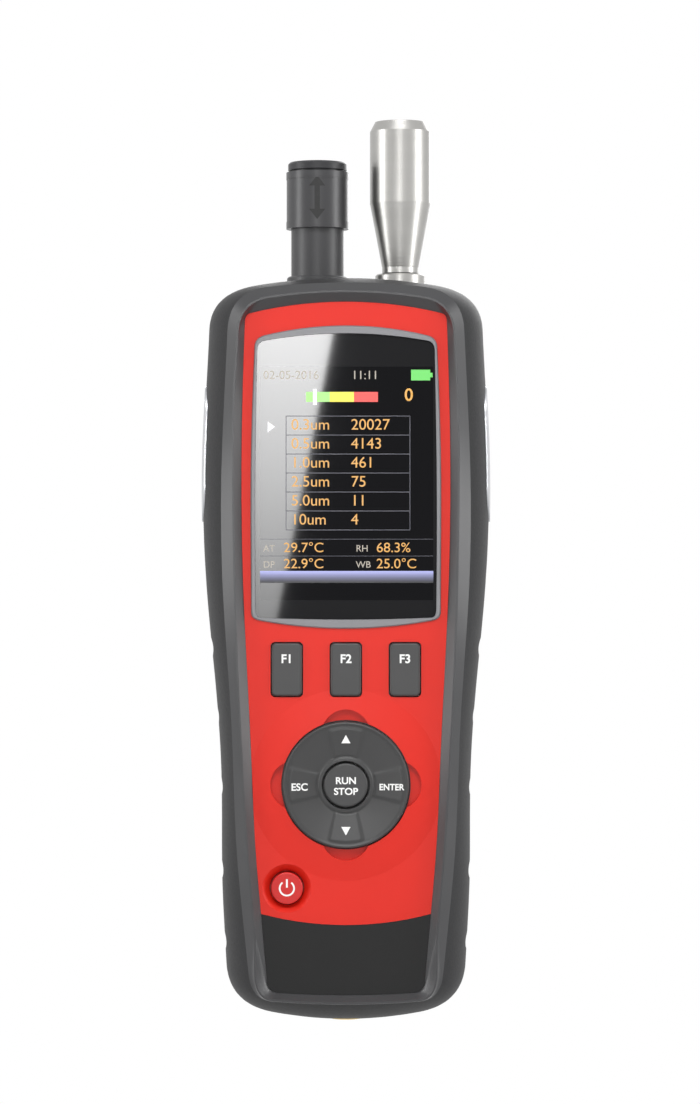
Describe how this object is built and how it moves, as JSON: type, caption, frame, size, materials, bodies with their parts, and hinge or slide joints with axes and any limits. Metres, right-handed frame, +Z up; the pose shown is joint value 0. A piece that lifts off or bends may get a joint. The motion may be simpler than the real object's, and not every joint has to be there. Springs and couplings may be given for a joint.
{
  "type": "air quality monitor",
  "caption": "Hand-held particle counter with a rubber-jacketed case, red key panel, display, rocking navigation ring, sliding-shutter humidity sensor and metal air inlet probe.",
  "frame": {"origin": "mouth of the tripod socket, at the middle of the foot", "axes": "+Z up along the case, -Y out of the display, +X to the right seen from the display"},
  "size_m": [0.077, 0.057, 0.2399],
  "materials": {
    "case_plastic": "satin",
    "jacket_rubber": "matte",
    "seal_rubber": "matte",
    "red_plastic": "satin",
    "chin_plastic": "satin",
    "key_plastic": "satin",
    "window_glass": "gloss",
    "screen": "gloss",
    "steel": "satin",
    "inlet_metal": "brushed",
    "brass": "satin",
    "board": "matte",
    "silver_trim": "satin",
    "black_plastic": "matte",
    "mirror": "polished",
    "label": "satin"
  },
  "bodies": {
    "case": {"battery_contacts": "steel", "battery_pack": "black_plastic", "board_screws": "steel", "board_shield": "steel", "buzzer": "black_plastic", "camera_lights": "window_glass", "camera_module": "black_plastic", "camera_window": "window_glass", "chin_panel": "chin_plastic", "detector_board": "board", "dome_switches": "steel", "exhaust_port": "steel", "exhaust_tube": "seal_rubber", "front_housing": "case_plastic", "front_panel": "red_plastic", "grip_jacket": "jacket_rubber", "housing_screws": "steel", "housing_seal": "seal_rubber", "humidity_sensor": "board", "inlet_gasket": "seal_rubber", "inlet_spigot": "inlet_metal", "inlet_tube": "seal_rubber", "keypad_mat": "seal_rubber", "laser_module": "black_plastic", "lcd_module": "screen", "main_board": "board", "module_screws": "steel", "optical_chamber": "inlet_metal", "pump_housing": "black_plastic", "pump_motor": "inlet_metal", "pump_tube": "seal_rubber", "rear_housing": "case_plastic", "rear_plate": "label", "scatter_mirror": "mirror", "screen_bezel": "case_plastic", "screen_window": "window_glass", "sensor_cage": "case_plastic", "sensor_cap": "case_plastic", "sensor_stem": "case_plastic", "side_inlay_left": "silver_trim", "side_inlay_right": "silver_trim", "sleeve_ring": "seal_rubber", "spigot_nut": "inlet_metal", "stem_nut": "brass", "tripod_insert": "brass", "usb_socket": "steel"},
    "f1": {"f1_key": "key_plastic"},
    "f2": {"f2_key": "key_plastic"},
    "f3": {"f3_key": "key_plastic"},
    "run_stop": {"run_stop_key": "key_plastic"},
    "power": {"power_key": "red_plastic"},
    "gimbal": {"nav_gimbal": "black_plastic"},
    "ring": {"nav_ring": "key_plastic"},
    "sleeve": {"sensor_sleeve": "case_plastic"},
    "probe": {"inlet_probe": "inlet_metal"},
    "door": {"battery_door": "case_plastic", "door_screws": "steel"},
    "cover": {"port_cover": "jacket_rubber"},
    "rotor": {"pump_rotor": "black_plastic"}
  },
  "joints": [
    {"name": "f1_press", "type": "slide", "parent": "case", "child": "f1", "axis": [0, 1, 0], "range_m": [0, 0.0008], "stiffness_N_per_m": 1500},
    {"name": "f2_press", "type": "slide", "parent": "case", "child": "f2", "axis": [0, 1, 0], "range_m": [0, 0.0008], "stiffness_N_per_m": 1500},
    {"name": "f3_press", "type": "slide", "parent": "case", "child": "f3", "axis": [0, 1, 0], "range_m": [0, 0.0008], "stiffness_N_per_m": 1500},
    {"name": "run_stop_press", "type": "slide", "parent": "case", "child": "run_stop", "axis": [0, 1, 0], "range_m": [0, 0.0008], "stiffness_N_per_m": 1500},
    {"name": "power_press", "type": "slide", "parent": "case", "child": "power", "axis": [0, 1, 0], "range_m": [0, 0.0008], "stiffness_N_per_m": 1500},
    {"name": "ring_tilt_left_right", "type": "hinge", "parent": "case", "child": "gimbal", "pos_m": [0, -0.0176, 0.0634], "axis": [0, 0, 1], "range_deg": [-2, 2], "stiffness_Nm_per_rad": 0.3},
    {"name": "ring_tilt_up_down", "type": "hinge", "parent": "gimbal", "child": "ring", "pos_m": [0, -0.0176, 0.0634], "axis": [1, 0, 0], "range_deg": [-2, 2], "stiffness_Nm_per_rad": 0.3},
    {"name": "sleeve_slide", "type": "slide", "parent": "case", "child": "sleeve", "axis": [0, 0, 1], "range_m": [-0.012, 0]},
    {"name": "probe_removal", "type": "slide", "parent": "case", "child": "probe", "axis": [0, 0, 1], "range_m": [0, 0.012]},
    {"name": "door_removal", "type": "slide", "parent": "case", "child": "door", "axis": [0, 1, 0], "range_m": [0, 0.02]},
    {"name": "port_cover_hinge", "type": "hinge", "parent": "case", "child": "cover", "pos_m": [-0.0134, 0.0046, 0.0001], "axis": [1, 0, 0], "range_deg": [0, 95]},
    {"name": "pump_spin", "type": "hinge", "parent": "case", "child": "rotor", "pos_m": [0.008, 0.015, 0.112], "axis": [0, 0, 1], "continuous": true}
  ]
}
